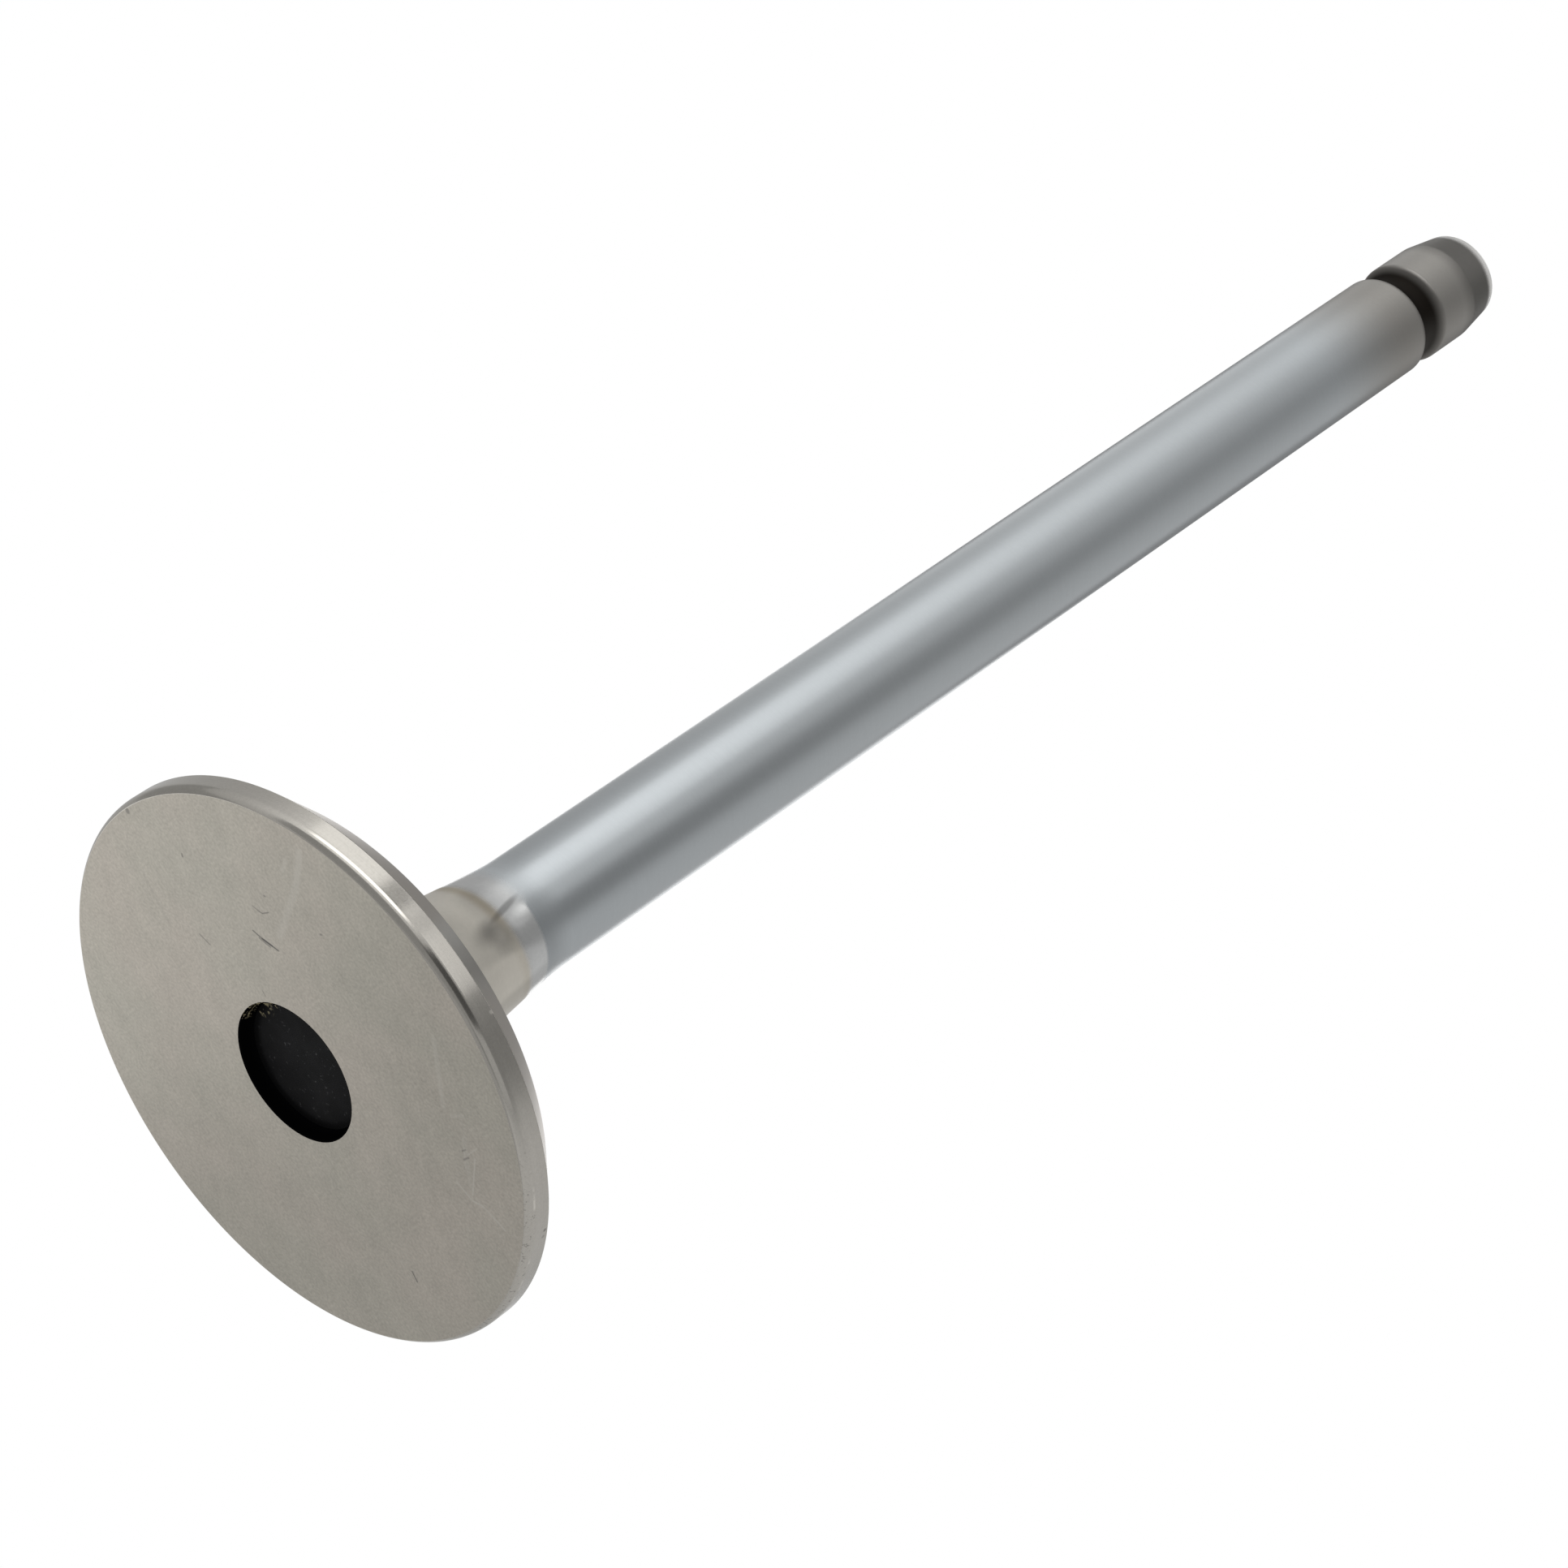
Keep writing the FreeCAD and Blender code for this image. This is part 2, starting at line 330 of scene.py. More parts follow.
headFace = {
    "cooler": (0.435, 0.414, 0.360, 1),
    "warmer": (0.446, 0.412, 0.362, 1),
    "roughness": 0.36,
    "cloud": (90, 2, 0.5),
    "cloudSpan": (0.3, 0.7),                # from cooler to warmer
    "cloudTone": 0.15,
    "cloudRoughness": 0.08,
    "mottle": (350, 6, 0.85),
    "mottleTone": 0.38,
    "speckle": (4200, 2, 0.5),
    "speckleTone": 0.50,
    "rings": (2500, 3, 0.7),
    "ringTone": 0.04,
    "wipe": (1100, 2, 0.6),
    "wipeTone": 0.08,
    "wipeStretch": (14, 1, 1),
    "wipeTurns": (13.0, 43.0),              # directions of the wiping marks, degrees from +X
    "paintedHighlightHalo": (0.0065, 0.015, 1.05, 1.0),     # painted highlight, paler by the recess: from, to, how much there and beyond
    "grainLift": 0.5,                       # rings and speckle in the bump, where a scratch counts 1
    "bump": (0.12, 0.00002),
    "darkLine": (0.16, 0.155, 0.15, 1),
    "paleLine": (0.56, 0.54, 0.49, 1),
    "scratchFade": (0.2, 0.7),              # shares of a scratch's width
    "scratchRoughness": 0.2,                # a dark scratch is rougher by this
    # startX, startY, endX, endY and width in millimetres on the face, then strength
    "darkScratches": [(-9.9, -6.3, -9.05, -6.7, 0.14, 0.7), (-9.05, -6.7, -8.2, -7.25, 0.2, 0.95),
                      (-8.2, -7.25, -7.7, -7.55, 0.16, 0.8), (-9.2, -6.45, -8.25, -6.95, 0.18, 0.45),
                      (-11.3, -8.1, -10.8, -8.35, 0.1, 0.5), (-10.8, -8.35, -10.45, -8.6, 0.12, 0.6),
                      (-10.45, -8.6, -10.25, -9.3, 0.12, 0.55), (-12.0, -0.06, -10.94, -0.43, 0.12, 0.5),
                      (16.6, 2.15, 17.4, 2.36, 0.16, 0.7), (-6.13, -2.77, -5.67, -2.69, 0.12, 0.4),
                      (-11.35, -10.1, -11.3, -10.15, 0.2, 0.45), (-6.85, -13.3, -6.8, -13.4, 0.2, 0.45),
                      (11.05, -12.55, 11.1, -13.0, 0.14, 0.4), (11.63, -12.1, 11.68, -12.75, 0.18, 0.45),
                      (-17.25, -4.25, -17.1, -4.15, 0.2, 0.5), (-22.12, -1.5, -22.05, -1.45, 0.45, 0.5),
                      (-17.8, 1.68, -13.9, 2.54, 0.35, 0.1)],
    "paleScratches": [(12.7, -9.7, 14.4, -10.0, 0.2, 0.45), (14.4, -10.0, 15.1, -10.7, 0.2, 0.5),
                      (15.1, -10.7, 17.3, -11.3, 0.2, 0.5), (12.0, -13.3, 14.05, -10.45, 0.16, 0.5),
                      (10.35, -13.5, 12.2, -11.7, 0.18, 0.35), (11.43, -14.3, 11.48, -12.9, 0.14, 0.4),
                      (8.6, -13.9, 9.0, -15.2, 0.3, 0.25), (-12.25, -16.95, -10.5, -14.15, 0.7, 0.3),
                      (-10.5, -14.15, -8.45, -8.75, 0.7, 0.25), (-12.35, -14.9, -12.0, -13.95, 0.4, 0.25),
                      (3.4, -17.7, 7.7, -13.8, 0.5, 0.25), (10.3, -13.8, 13.4, -10.9, 0.4, 0.2),
                      (-12.8, -19.2, -12.0, -20.1, 0.25, 0.6)],
}


def scratchMask(tree, place, scratches):
    # Strength on each line from start to end that is width wide, fading over its edges; the strongest wins.
    strongest = 0.0
    for startX, startY, endX, endY, width, strength in scratches:
        first = Vector((startX, startY, 0)) * millimetre
        along = Vector((endX, endY, 0)) * millimetre - first
        offset = addNode(tree, "ShaderNodeVectorMath", {0: place, 1: first},
                         operation="SUBTRACT").outputs[0]
        share = addNode(tree, "ShaderNodeVectorMath", {0: offset, 1: along / along.length_squared},
                        operation="DOT_PRODUCT").outputs["Value"]
        share = addNode(tree, "ShaderNodeClamp", {0: share}).outputs[0]
        gap = apart(tree, offset, dimmed(tree, along, share))
        fadeStart, fadeEnd = (width * millimetre * part for part in headFace["scratchFade"])
        line = fade(tree, gap, fadeStart, fadeEnd, strength, 0.0)
        strongest = maths(tree, "MAXIMUM", strongest, line)
    return strongest


def faceFinish():
    # Satin turned face: faint rings, cloudy tone, wiping marks, fine speckle, scratches from handling, and a
    # painted highlight round the recess.
    look = headFace
    material, tree, shader, place = newMaterial("satinFace")
    away, height = roundPlace(tree, place)[:2]
    cloud = grain(tree, place, *look["cloud"])
    rings = turningMarks(tree, away, height, *look["rings"])
    mottle = grain(tree, place, *look["mottle"])
    speckle = grain(tree, place, *look["speckle"])
    tone = blendColour(tree, fade(tree, cloud, *look["cloudSpan"]), look["cooler"], look["warmer"])
    shade = swayed(tree, 1.0, mottle, look["mottleTone"])
    shade = swayed(tree, shade, speckle, look["speckleTone"])
    shade = swayed(tree, shade, cloud, look["cloudTone"])
    shade = swayed(tree, shade, rings, look["ringTone"])
    for direction in look["wipeTurns"]:
        wipe = grain(tree, place, *look["wipe"], look["wipeStretch"], direction)
        shade = swayed(tree, shade, wipe, look["wipeTone"])
    # painted highlight: the face is paler round the recess
    shade = maths(tree, "MULTIPLY", shade, fade(tree, away, *look["paintedHighlightHalo"]))
    tone = dimmed(tree, tone, shade)
    pale = scratchMask(tree, place, look["paleScratches"])
    tone = blendColour(tree, pale, tone, look["paleLine"])
    dark = scratchMask(tree, place, look["darkScratches"])
    tone = blendColour(tree, dark, tone, look["darkLine"])
    tree.links.new(tone, shader.inputs["Base Color"])
    shader.inputs["Metallic"].default_value = 1
    rough = swayed(tree, look["roughness"], cloud, look["cloudRoughness"])
    rough = maths(tree, "MULTIPLY_ADD", dark, look["scratchRoughness"], rough)
    tree.links.new(rough, shader.inputs["Roughness"])
    lift = maths(tree, "MULTIPLY", maths(tree, "ADD", rings, speckle), look["grainLift"])
    lift = maths(tree, "SUBTRACT", lift, maths(tree, "ADD", dark, pale))
    addBump(tree, shader, lift, *look["bump"])
    return material


headEdge = {
    "rimColour": (0.553, 0.53, 0.485, 1),
    "rimRoughness": 0.17,
    "seatColour": (0.58, 0.532, 0.472, 1),
    "seatRoughness": 0.29,
    "speckle": (5000, 3, 0.6),
    "speckleTone": 0.20,
    "speckleRoughness": 0.04,
    "lines": (9000, 2, 0.6),
    "lineTone": 0.12,
    "lineLift": 0.6,                        # grinding lines in the bump, where speckle counts 1
    "bump": (0.025, 0.00001),
    # nicks on the margin: degrees round, height and reach in millimetres, tone
    "nicks": [(10.5, 2.0, 0.22, 1.5), (56, 1.8, 0.2, 0.5), (57.5, 1.7, 0.2, 0.7), (66, 0.5, 0.2, 0.8)],
    "nickCore": 0.4,                        # share of its reach at which a nick starts to fade
    "wornTurn": (40, 100, 12),              # degrees between which the rim is worn, and their fading
    "wornLine": (0.00066, 0.00008),         # pale line worn over the rim: height, half width
    "wornBreaks": (450, 2, 0.5),            # it comes and goes with this noise
    "wornSpan": (0.45, 0.6, 0.0, 0.35),     # and makes the rim this much paler
    "pits": (3800, 2, 0.5),
    "pitSpan": (0.58, 0.68, 0.0, 0.35),     # pits make it this much darker
    "pitHeight": (0.00060, 0.00075),        # and end between these heights
}


def edgeFinish(name, colour, roughness):
    # Rim, margin and seat are ground round, smoother and brighter than the face, with nicks and a worn rim.
    look = headEdge
    material, tree, shader, place = newMaterial(name)
    away, height, angle = roundPlace(tree, place)
    speckle = grain(tree, place, *look["speckle"])
    lines = turningMarks(tree, away, height, *look["lines"])
    shade = swayed(tree, swayed(tree, 1.0, lines, look["lineTone"]), speckle, look["speckleTone"])
    for around, up, reach, strength in look["nicks"]:
        turn = math.radians(around)
        spot = Vector((math.sin(turn), -math.cos(turn), 0)) * valve["headRadius"]
        spot.z = up * millimetre
        reach *= millimetre
        near = fade(tree, apart(tree, place, spot), reach * look["nickCore"], reach, strength, 1.0)
        shade = maths(tree, "MULTIPLY", shade, near)
    lineHeight, lineHalf = look["wornLine"]
    line = band(tree, height, lineHeight - lineHalf, lineHeight + lineHalf, lineHalf)
    breaks = grain(tree, place, *look["wornBreaks"])
    line = maths(tree, "MULTIPLY", line, fade(tree, breaks, *look["wornSpan"]))
    pits = fade(tree, grain(tree, place, *look["pits"]), *look["pitSpan"])
    pits = maths(tree, "MULTIPLY", pits, fade(tree, height, *look["pitHeight"], 1.0, 0.0))
    worn = band(tree, angle, *look["wornTurn"])
    wear = maths(tree, "MULTIPLY", worn, maths(tree, "SUBTRACT", line, pits))
    shade = maths(tree, "MULTIPLY", shade, maths(tree, "ADD", 1, wear))
    tree.links.new(dimmed(tree, colour, shade), shader.inputs["Base Color"])
    shader.inputs["Metallic"].default_value = 1
    tree.links.new(swayed(tree, roughness, speckle, look["speckleRoughness"]), shader.inputs["Roughness"])
    addBump(tree, shader, maths(tree, "MULTIPLY_ADD", lines, look["lineLift"], speckle), *look["bump"])
    return material


shank = {
    "speckle": (3000, 3, 0.7),
    "speckleTone": 0.14,
    "speckleRoughness": 0.04,
    "mottle": (500, 4, 0.8),
    "mottleTone": 0.10,
    "lines": (250, 2, 0.6),                 # grinding lines round the stem
    "lineStretch": (1, 1, 0.025),
    "lineLift": 0.6,                        # in the bump, where speckle counts 1
    "bump": (0.12, 0.00001),
    "neckColour": (0.45, 0.427, 0.38, 1),
    "neckShade": 0.96,                      # the neck and the ground band as a whole
    "neckMetal": 0.5,                       # the dull forged neck mirrors less
    "neckRoughness": 0.47,
    # weld ring: height of its middle, how it leans along X and Y, half width, fading
    "weld": (0.01875, 0.075, 0.040, 0.0003, 0.0007),
    "weldFaint": (-22, 12, 0.75, 0.2),      # it weakens between these angles, from one share to the other
    "weldColour": (0.20, 0.155, 0.08, 1),
    "wander": (160, 3, 0.5),                # it isn't quite even round the neck
    "wanderReach": 0.0004,                  # but goes up and down by this in all
    "groundColour": (0.55, 0.555, 0.55, 1),
    "groundRoughness": 0.21,
    # painted reflections, dark and light patches by the weld: degrees round, millimetres up, reach both
    # ways, lean, core, tone
    "paintedReflections": [(2, 17.7, 22, 2.1, -2.0, 0.25, 0.66), (-5, 16.7, 13, 2.4, 1.8, 0.0, 0.62),
                (-14.3, 19.7, 4.5, 2.6, 2.2, 0.3, 0.55), (-30, 18.5, 28, 2.6, 0, 0.2, 0.73),
                (-5.5, 21.0, 8, 1.6, 1.0, 0.0, 1.5), (-2.5, 20.5, 11, 2.0, 2.0, 0.5, 1.2),
                (33, 16.0, 20, 8.5, -1.2, 0.6, 1.22)],
    "platingColour": (0.50, 0.53, 0.547, 1),
    "platingRoughness": 0.29,
    "platingTone": 0.08,                    # of lines and of speckle
    "platingStart": 0.0214,
    "platingSoft": (-14, -5, 0.0009, 0.0002),   # its edge sharpens from the first angle to the second
    "platingWander": 0.5,                   # its edge wanders by this share of what the weld does
    "platingFootShade": (0.0218, 0.0246, 0.2, 0.0),  # painted shade: darker by a share that fades out between these heights
    "platingFootTurn": (-20, -2),           # and that comes in between these angles
    "platingEnd": (0.124, 0.137),
    "tipColour": (0.365, 0.352, 0.33, 1),
    "tipRoughness": 0.38,
    "taperPaintedShade": (0.1456, 0.1473, 1.0, 0.69),  # painted shade past these heights, to the last share
    # painted shade in the groove
    "grooveShadeColour": (0.022, 0.019, 0.016, 1),
    "grooveReach": (-0.0021, -0.0011, 0.0009, 0.0020),  # its painted shade fades in, then out, from its middle
    "grooveFaint": (15, 55, 1.0, 0.88),     # its painted shade thins between these angles
    "grooveRoughness": 0.3,                 # rougher by this
    "endColour": (0.54, 0.53, 0.51, 1),     # ground end of the tip
    "endFade": (0.0003, 0.0001),            # metres below the end
    "edgeColourAndHighlight": (0.74, 0.73, 0.71, 1),    # bright edge of the tip: worn and ground, with a painted highlight
    "edgeFade": (0.0014, 0.0006),           # metres below the end
    "edgeInset": (0.0010, 0.0005),          # and metres inside the tip's radius
    "edgeRoughness": -0.14,                 # smoother by this
    "endMetal": 0.4,                        # end and edge mirror less
}


def shankFinish():
    # Underhead, neck, stem and tip in one, by height: bare, weld tint, ground band, plating, bare tip.
    look = shank
    material, tree, shader, place = newMaterial("platedShank")
    away, height, angle = roundPlace(tree, place)
    speckle = grain(tree, place, *look["speckle"])
    mottle = grain(tree, place, *look["mottle"])
    lines = grain(tree, place, *look["lines"], look["lineStretch"])

    weldMiddle, leanX, leanY, weldHalf, weldFade = look["weld"]
    leaning = addNode(tree, "ShaderNodeVectorMath", {0: place, 1: (-leanX, -leanY, 1)},
                      operation="DOT_PRODUCT").outputs["Value"]
    wander = swayed(tree, 0.0, grain(tree, place, *look["wander"]), look["wanderReach"])
    level = maths(tree, "ADD", leaning, wander)
    onGround = fade(tree, level, weldMiddle, weldMiddle + weldFade)
    tone = blendColour(tree, onGround, look["neckColour"], look["groundColour"])
    weld = band(tree, level, weldMiddle - weldHalf, weldMiddle + weldHalf, weldFade)
    weld = maths(tree, "MULTIPLY", weld, fade(tree, angle, *look["weldFaint"]))
    tone = blendColour(tree, weld, tone, look["weldColour"])
    shade = swayed(tree, look["neckShade"], mottle, look["mottleTone"])
    shade = swayed(tree, shade, speckle, look["speckleTone"])
    # painted reflections: dark and light patches on the neck and the ground band
    for *where, strength in look["paintedReflections"]:
        spot = patch(tree, angle, height, *where)
        shade = maths(tree, "MULTIPLY", shade, maths(tree, "MULTIPLY_ADD", spot, strength - 1, 1))
    tone = dimmed(tree, tone, shade)

    plateLevel = maths(tree, "MULTIPLY_ADD", wander, look["platingWander"], height)
    plateLevel = maths(tree, "SUBTRACT", plateLevel, look["platingStart"])
    softness = fade(tree, angle, *look["platingSoft"])
    onPlating = fade(tree, maths(tree, "DIVIDE", plateLevel, softness), -1, 1)
    plate = swayed(tree, swayed(tree, 1.0, lines, look["platingTone"]), speckle, look["platingTone"])
    # painted shade on the plating just above its edge
    foot = maths(tree, "MULTIPLY", fade(tree, height, *look["platingFootShade"]),
                 fade(tree, angle, *look["platingFootTurn"]))
    footShadedPlate = maths(tree, "MULTIPLY", plate, maths(tree, "SUBTRACT", 1, foot))
    tone = blendColour(tree, onPlating, tone, dimmed(tree, look["platingColour"], footShadedPlate))

    onTip = fade(tree, height, *look["platingEnd"])
    # painted shade on the taper
    tapered = maths(tree, "MULTIPLY", plate, fade(tree, height, *look["taperPaintedShade"]))
    tone = blendColour(tree, onTip, tone, dimmed(tree, look["tipColour"], tapered))
    grooveHeight = valve["length"] - valve["grooveFromTip"]
    # painted shade in the groove, thinner to one side
    shadeStart, shadeFull, shadeFade, shadeEnd = (grooveHeight + reach for reach in look["grooveReach"])
    inGroove = maths(tree, "MULTIPLY", fade(tree, height, shadeStart, shadeFull),
                     fade(tree, height, shadeFade, shadeEnd, 1.0, 0.0))
    inGroove = maths(tree, "MULTIPLY", inGroove, fade(tree, angle, *look["grooveFaint"]))
    tone = blendColour(tree, inGroove, tone, look["grooveShadeColour"])
    onEnd = fade(tree, height, *(valve["length"] - below for below in look["endFade"]))
    tone = blendColour(tree, onEnd, tone, dimmed(tree, look["endColour"], plate))
    # worn edge of the tip, with a painted highlight
    onEdge = maths(tree, "MULTIPLY",
                   fade(tree, height, *(valve["length"] - below for below in look["edgeFade"])),
                   fade(tree, away, *(valve["tipRadius"] - inside for inside in look["edgeInset"])))
    tone = blendColour(tree, onEdge, tone, look["edgeColourAndHighlight"])
    tree.links.new(tone, shader.inputs["Base Color"])

    metal = maths(tree, "MULTIPLY_ADD", onGround, 1 - look["neckMetal"], look["neckMetal"])
    bright = maths(tree, "MAXIMUM", onEdge, onEnd)
    metal = maths(tree, "MULTIPLY", metal, maths(tree, "MULTIPLY_ADD", bright, look["endMetal"] - 1, 1))
    tree.links.new(metal, shader.inputs["Metallic"])
    groundStep = look["groundRoughness"] - look["neckRoughness"]
    plateStep = look["platingRoughness"] - look["groundRoughness"]
    tipStep = look["tipRoughness"] - look["platingRoughness"]
    rough = maths(tree, "MULTIPLY_ADD", onGround, groundStep, look["neckRoughness"])
    rough = maths(tree, "MULTIPLY_ADD", onPlating, plateStep, rough)
    rough = maths(tree, "MULTIPLY_ADD", onTip, tipStep, rough)
    rough = maths(tree, "MULTIPLY_ADD", inGroove, look["grooveRoughness"], rough)
    rough = maths(tree, "MULTIPLY_ADD", onEdge, look["edgeRoughness"], rough)
    tree.links.new(swayed(tree, rough, speckle, look["speckleRoughness"]), shader.inputs["Roughness"])
    addBump(tree, shader, maths(tree, "MULTIPLY_ADD", lines, look["lineLift"], speckle), *look["bump"])
    return material


recess = {
    "scale": (0.0085, 0.0085, 0.009, 1),
    "floorSheen": 0.08,
    # the wall's black scale, darker still with painted shade
    "wallScaleAndShade": (0.0012, 0.0012, 0.0014, 1),
    "wallSheen": 0.0,
    "floorShadeReach": (0.0047, 0.0053),         # painted shade: the floor's scale darkens towards the wall between these
    "roughness": 0.8,
    "cloud": (500, 3, 0.5),
    "cloudSpan": (0.3, 0.7, 1.0, 0.7),      # darker, to the last share
    "specks": (2600, 3, 0.7),
    "speckSpan": (0.6, 0.75, 0.0, 0.7),
    "speckColour": (0.05, 0.05, 0.052, 1),
    "flakes": (2400, 2, 0.6),               # breaks the chips up
    "flakeSpan": (0.54, 0.62),
    "brassy": (0.19, 0.165, 0.10, 1),
    # chips in the scale along the wall: X, Y and height in millimetres, then reach
    "chips": [(-5.3, -1.2, 0.6, 1.6), (-4.8, -2.6, 0.8, 1.6), (-4.0, -3.0, 1.4, 1.2),
              (-5.5, 0.7, 0.4, 1.8)],
    "chipCore": 0.6,                        # share of their reach at which they start to thin out
    "bump": (0.4, 0.00008),
}


def recessFinish(name, scale, sheen):
    # Black forging scale, a few grey specks, brassy chips at one side of the mouth, and painted shade
    # towards and on the wall.
    look = recess
    material, tree, shader, place = newMaterial(name)
    away = roundPlace(tree, place)[0]
    cloud = grain(tree, place, *look["cloud"])
    specks = grain(tree, place, *look["specks"])
    flakes = grain(tree, place, *look["flakes"])
    tone = dimmed(tree, scale, fade(tree, cloud, *look["cloudSpan"]))
    tone = blendColour(tree, fade(tree, specks, *look["speckSpan"]), tone, look["speckColour"])
    # painted shade towards the wall
    tone = blendColour(tree, fade(tree, away, *look["floorShadeReach"]), tone, look["wallScaleAndShade"])
    near = 0.0
    for *where, reach in look["chips"]:
        gap = apart(tree, place, Vector(where) * millimetre)
        reach *= millimetre
        near = maths(tree, "MAXIMUM", near, fade(tree, gap, reach * look["chipCore"], reach, 1.0, 0.0))
    chipped = maths(tree, "MULTIPLY", near, fade(tree, flakes, *look["flakeSpan"]))
    tone = blendColour(tree, chipped, tone, look["brassy"])
    tree.links.new(tone, shader.inputs["Base Color"])
    shader.inputs["Roughness"].default_value = look["roughness"]
    shader.inputs["Specular IOR Level"].default_value = sheen
    addBump(tree, shader, maths(tree, "ADD", specks, cloud), *look["bump"])
    return material


# in the order of zoneNumbers
finishes = [
    recessFinish("forgingScale", recess["scale"], recess["floorSheen"]),
    faceFinish(),
    edgeFinish("groundRim", headEdge["rimColour"], headEdge["rimRoughness"]),
    shankFinish(),
    edgeFinish("groundSeat", headEdge["seatColour"], headEdge["seatRoughness"]),
    recessFinish("recessWall", recess["wallScaleAndShade"], recess["wallSheen"]),
]
for finish in finishes:
    body.data.materials.append(finish)

zones = {
    "slack": 1e-6,               # metres that a face's middle may be off
    "mouthShare": 0.95,          # share of the rounding at the recess's mouth that has the wall's finish with its painted shade
    "floorShare": 0.4,           # and of the rounding at its floor
}


def zoneNumbers():
    # Finish of each face by its middle: 0 recess floor, 1 face, 2 rim and margin, 3 above the seat, 4 seat,
    # 5 recess wall.
    v = valve
    centres = np.empty(len(body.data.polygons) * 3)
    body.data.polygons.foreach_get("center", centres)
    centres = centres.reshape(-1, 3)
    away = np.hypot(centres[:, 0], centres[:, 1])
    up = centres[:, 2]
    marginTop = v["rimHeight"] + v["marginHeight"]
    seatTop = marginTop + v["seatWidth"] * math.tan(math.radians(v["seatAngle"]))
    mouthEdge = v["recessRadius"] + v["recessMouthRadius"] * zones["mouthShare"]
    floorEdge = v["recessRadius"] - v["recessFloorRadius"] * zones["floorShare"]
    inRecess = up < v["recessDepth"] + zones["slack"]
    zone = np.full(len(up), 3)
    zone[up < seatTop] = 4
    zone[up < marginTop] = 2
    zone[(up < zones["slack"]) & (away < v["headRadius"] - v["rimWidth"])] = 1
    zone[(away < mouthEdge) & inRecess] = 5
    zone[(away < floorEdge) & inRecess] = 0
    return zone.astype(np.int32)


body.data.polygons.foreach_set("material_index", zoneNumbers())
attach(body, "root")
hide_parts("engine_valve")
print("finishes on")


# camera: where the photo was taken from, below the face and to the front of it
photo = {
    "side": 1932,                       # pixels
    "focalPixels": 5382.7,
    "faceCentre": (362.67, 1321.74),    # pixel of the middle of the face
    "distance": 0.3124,                 # to the face centre along the lens axis
    "stemLean": 51.65,                  # degrees between the stem and the lens axis
    "stemHeading": 34.83,               # degrees up from the right that the stem heads in the picture
    "sensor": 36.0,                     # millimetres
    "sight": (0.01, 20),                # nearest and furthest that it sees, metres
}


def photoCamera():
    # Camera whose picture has the face centre and the stem where the photo has them.
    middle = photo["side"] / 2
    acrossPixels = photo["faceCentre"][0] - middle
    upPixels = middle - photo["faceCentre"][1]
    depth = photo["distance"]
    scale = depth / photo["focalPixels"]
    face = Vector((acrossPixels * scale, upPixels * scale, -depth))
    lean = math.radians(photo["stemLean"])
    heading = math.radians(photo["stemHeading"])
    stem = Vector((math.cos(heading), math.sin(heading), 0)) * math.sin(lean)
    stem.z = -math.cos(lean)
    towardsUs = -face.normalized()
    ahead = -(towardsUs - towardsUs.dot(stem) * stem).normalized()
    side = ahead.cross(stem)
    turn = Matrix((side, ahead, stem))
    camera = bpy.data.cameras.new("photoCamera")
    camera.sensor_width = photo["sensor"]
    camera.lens = photo["sensor"] * photo["focalPixels"] / photo["side"]
    camera.clip_start, camera.clip_end = photo["sight"]
    holder = bpy.data.objects.new("photoCamera", camera)
    holder.matrix_world = Matrix.Translation(turn @ -face) @ turn.to_4x4()
    bpy.context.scene.collection.objects.link(holder)
    bpy.context.scene.camera = holder
    print("camera at", [round(c, 4) for c in holder.matrix_world.translation])


photoCamera()


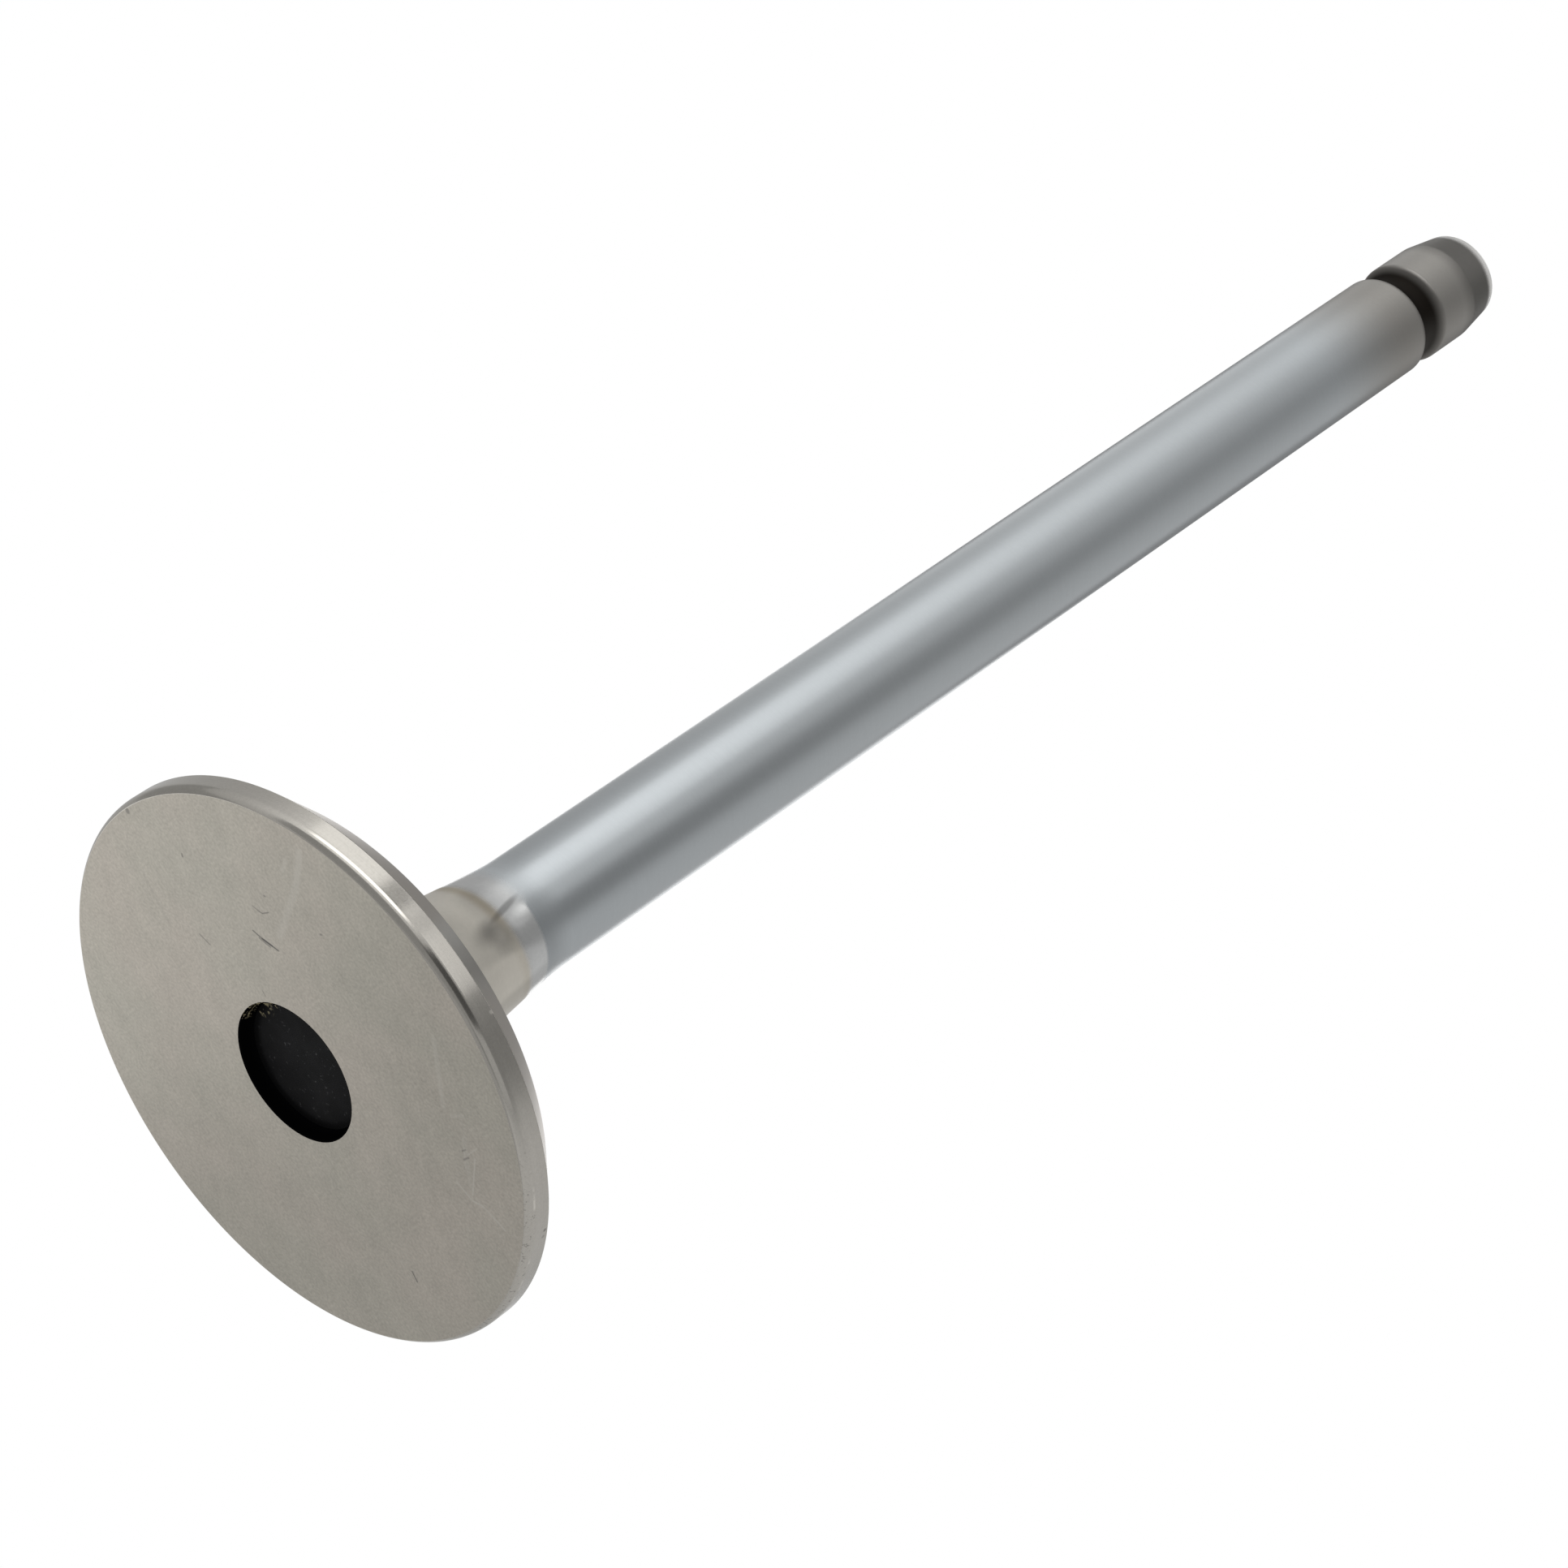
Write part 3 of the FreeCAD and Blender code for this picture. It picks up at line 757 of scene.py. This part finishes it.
# studio: a pale floor seen from above only, a white world, and a tent and cards that the metal mirrors
studio = {
    "floorSize": 6.0,
    "floorDrop": 0.0002,                # just clear of the face that stands on it
    "floorFade": (0.5, 2.2),            # metres from the valve over which it fades into the white
    "floorColour": (0.80, 0.80, 0.80, 1),
    "floorRoughness": 0.9,
    "worldColour": (1, 1, 1, 1),
    "tentRadius": 0.8,
    "tentLow": -1.2,
    "tentHigh": 1.25,
    "tentSides": 96,
    "tentBlend": (0.6, 0.95),           # heights between which the low bands change into the high ones
    # degrees round from the camera's side, towards +X, and the brightness there
    "lowBands": [(-180, 0.80), (-170, 0.54), (-150, 0.47), (-128, 0.46), (-108, 0.48), (-92, 0.57),
                 (-76, 0.80), (-60, 1.08), (-46, 1.12), (-32, 0.90), (-16, 0.68), (0, 0.54),
                 (14, 0.34), (28, 0.26), (42, 0.28), (50, 0.35), (60, 0.52), (76, 0.60),
                 (120, 0.58), (150, 0.46), (162, 0.56), (172, 0.92), (180, 0.80)],
    "highBands": [(-180, 0.60), (-150, 1.60), (-132, 1.0), (-118, 0.80), (-104, 0.78), (-90, 0.82),
                  (-75, 0.94), (-60, 0.96), (-45, 0.90), (-30, 0.78), (-15, 0.68), (0, 0.61),
                  (15, 0.53), (30, 0.47), (45, 0.48), (60, 0.51), (90, 0.57), (110, 0.62),
                  (130, 0.78), (150, 0.90), (180, 0.60)],
    # height, radius of the hole, brightness
    "covers": {"ceiling": (1.25, 0.3, 0.15), "underside": (-0.9, 0.001, 0.42)},
    # degrees round, degrees up, width and height in degrees, distance, brightness
    "cards": {
        "window": (-43, 15, 42, 18, 0.68, 2.4),
        "softWindow": (-48, 38, 40, 11, 0.7, 1.42),
        "narrowGap": (-31, 30, 10, 7, 0.5, 0.1),
        "paleStrip": (-2, 30, 22, 7, 0.7, 1.15),
        "lowFront": (-30, -36, 90, 48, 0.5, 0.33),
        "lowRight": (37, -18, 28, 40, 0.6, 0.48),
        "leftShade": (-124, -6, 30, 62, 0.7, 0.33),
        "behindCamera": (6, -5, 30, 42, 0.46, 0.09),
        "backWindow": (174, 41, 40, 13, 0.7, 1.4),
        "highBack": (172, 60, 54, 23, 0.7, 0.25),
        "belowLeft": (-158, -28, 44, 44, 0.14, 0.98),
        "belowRight": (166, -26, 32, 50, 0.12, 0.62),
    },
    "keyLamp": (140, 58, 1.1, 0.25, 2.0),   # degrees round, degrees up, distance, size, watts
}


def directionTo(around, up):
    # Unit vector (sin a cos u, -cos a cos u, sin u).
    a, u = math.radians(around), math.radians(up)
    return Vector((math.sin(a) * math.cos(u), -math.cos(a) * math.cos(u), math.sin(u)))


def addStage(name, points, faces, material, inPicture=False):
    # A stage piece shows either in the picture or in what metal mirrors, and neither lights nor shades
    # what is matt.
    mesh = bpy.data.meshes.new(name)
    mesh.from_pydata(points, [], faces)
    thing = bpy.data.objects.new(name, mesh)
    thing.data.materials.append(material)
    bpy.context.scene.collection.objects.link(thing)
    thing.visible_camera = inPicture
    thing.visible_glossy = not inPicture
    thing.visible_diffuse = False
    thing.visible_transmission = False
    thing.visible_volume_scatter = False
    thing.visible_shadow = False


def makeFloor():
    # One flat square. It is clear from below, and from above it fades out away from the valve.
    half, drop = studio["floorSize"] / 2, studio["floorDrop"]
    corners = [(-half, -half, -drop), (half, -half, -drop), (half, half, -drop), (-half, half, -drop)]
    material, tree, shader, place = newMaterial("paleFloor")
    shader.inputs["Base Color"].default_value = studio["floorColour"]
    shader.inputs["Roughness"].default_value = studio["floorRoughness"]
    shader.inputs["Specular IOR Level"].default_value = 0
    away = roundPlace(tree, place)[0]
    underside = addNode(tree, "ShaderNodeNewGeometry").outputs["Backfacing"]
    unseen = maths(tree, "MAXIMUM", underside, fade(tree, away, *studio["floorFade"]))
    clear = addNode(tree, "ShaderNodeBsdfTransparent").outputs[0]
    oneSided = addNode(tree, "ShaderNodeMixShader", {0: unseen, 1: shader.outputs[0], 2: clear})
    tree.links.new(oneSided.outputs[0], tree.nodes["Material Output"].inputs[0])
    addStage("floor", corners, [(0, 1, 2, 3)], material, inPicture=True)


def glowMaterial(name, bright):
    material = bpy.data.materials.new(name)
    material.use_nodes = True
    tree = material.node_tree
    tree.nodes.clear()
    glow = addNode(tree, "ShaderNodeEmission", {"Color": (1, 1, 1, 1), "Strength": bright})
    addNode(tree, "ShaderNodeOutputMaterial", {0: glow.outputs[0]})
    return material, tree, glow


def bandColour(tree, share, bands, brightest):
    # Grey that follows the bands round the tent, as a share of the brightest. A new ramp has two stops.
    ramp = addNode(tree, "ShaderNodeValToRGB", {0: share})
    stops = ramp.color_ramp.elements
    for number, (degrees, bright) in enumerate(bands):
        spot = stops[number] if number < 2 else stops.new(1.0)
        spot.position = (degrees + 180) / 360
        spot.color = (bright / brightest,) * 3 + (1,)
    return ramp.outputs[0]


def makeTent():
    # Wall (R sin a, -R cos a, z) round the valve, its brightness changing with a and z, and flat covers
    # above and below.
    angle = np.radians(np.linspace(-180, 180, studio["tentSides"], endpoint=False))
    wall = np.empty((2, len(angle), 3))
    wall[..., 0] = studio["tentRadius"] * np.sin(angle)
    wall[..., 1] = -studio["tentRadius"] * np.cos(angle)
    wall[..., 2] = np.array([[studio["tentLow"]], [studio["tentHigh"]]])
    here = np.arange(len(angle))
    beside = (here + 1) % len(angle)
    faces = np.stack([here, beside, beside + len(angle), here + len(angle)], axis=1).tolist()
    brightest = max(bright for name in ("lowBands", "highBands") for degrees, bright in studio[name])
    material, tree, glow = glowMaterial("tentBands", brightest)
    height, degrees = roundPlace(tree, addNode(tree, "ShaderNodeTexCoord").outputs["Object"])[1:]
    share = maths(tree, "MULTIPLY_ADD", degrees, 1 / 360, 0.5)
    lowTone = bandColour(tree, share, studio["lowBands"], brightest)
    highTone = bandColour(tree, share, studio["highBands"], brightest)
    tone = blendColour(tree, fade(tree, height, *studio["tentBlend"]), lowTone, highTone)
    tree.links.new(tone, glow.inputs["Color"])
    addStage("tent", wall.reshape(-1, 3), faces, material)

    for name, (height, hole, bright) in studio["covers"].items():
        cover = np.stack([wall[0], wall[0]])
        cover[1, :, :2] *= hole / studio["tentRadius"]
        cover[..., 2] = height
        addStage(name, cover.reshape(-1, 3), faces, glowMaterial(name, bright)[0])


def makeCards():
    # Upright or tipped cards that face the valve.
    for name, (around, up, wide, tall, distance, bright) in studio["cards"].items():
        ahead = directionTo(around, up)
        side = Vector((0, 0, 1)).cross(ahead).normalized()
        over = ahead.cross(side)
        middle = ahead * distance
        side = side * distance * math.tan(math.radians(wide / 2))
        over = over * distance * math.tan(math.radians(tall / 2))
        corners = [middle - side - over, middle + side - over, middle + side + over, middle - side + over]
        addStage(name, corners, [(0, 1, 2, 3)], glowMaterial(name, bright)[0])


def makeKeyLamp():
    # It lights what is matt and throws the shadow on the floor; metal mirrors the tent and cards instead.
    around, up, distance, size, watts = studio["keyLamp"]
    direction = directionTo(around, up)
    lamp = bpy.data.lights.new("key", "AREA")
    lamp.shape = "DISK"
    lamp.size = size
    lamp.energy = watts
    holder = bpy.data.objects.new("key", lamp)
    turn = direction.to_track_quat("Z", "Y").to_matrix().to_4x4()
    holder.matrix_world = Matrix.Translation(direction * distance) @ turn
    holder.visible_camera = False
    holder.visible_glossy = False
    bpy.context.scene.collection.objects.link(holder)


def makeWorld():
    world = bpy.data.worlds.new("whiteWorld")
    world.use_nodes = True
    world.node_tree.nodes["Background"].inputs[0].default_value = studio["worldColour"]
    bpy.context.scene.world = world


makeFloor()
makeTent()
makeCards()
makeKeyLamp()
makeWorld()
bpy.context.scene.view_settings.view_transform = "Standard"
print("studio ready")
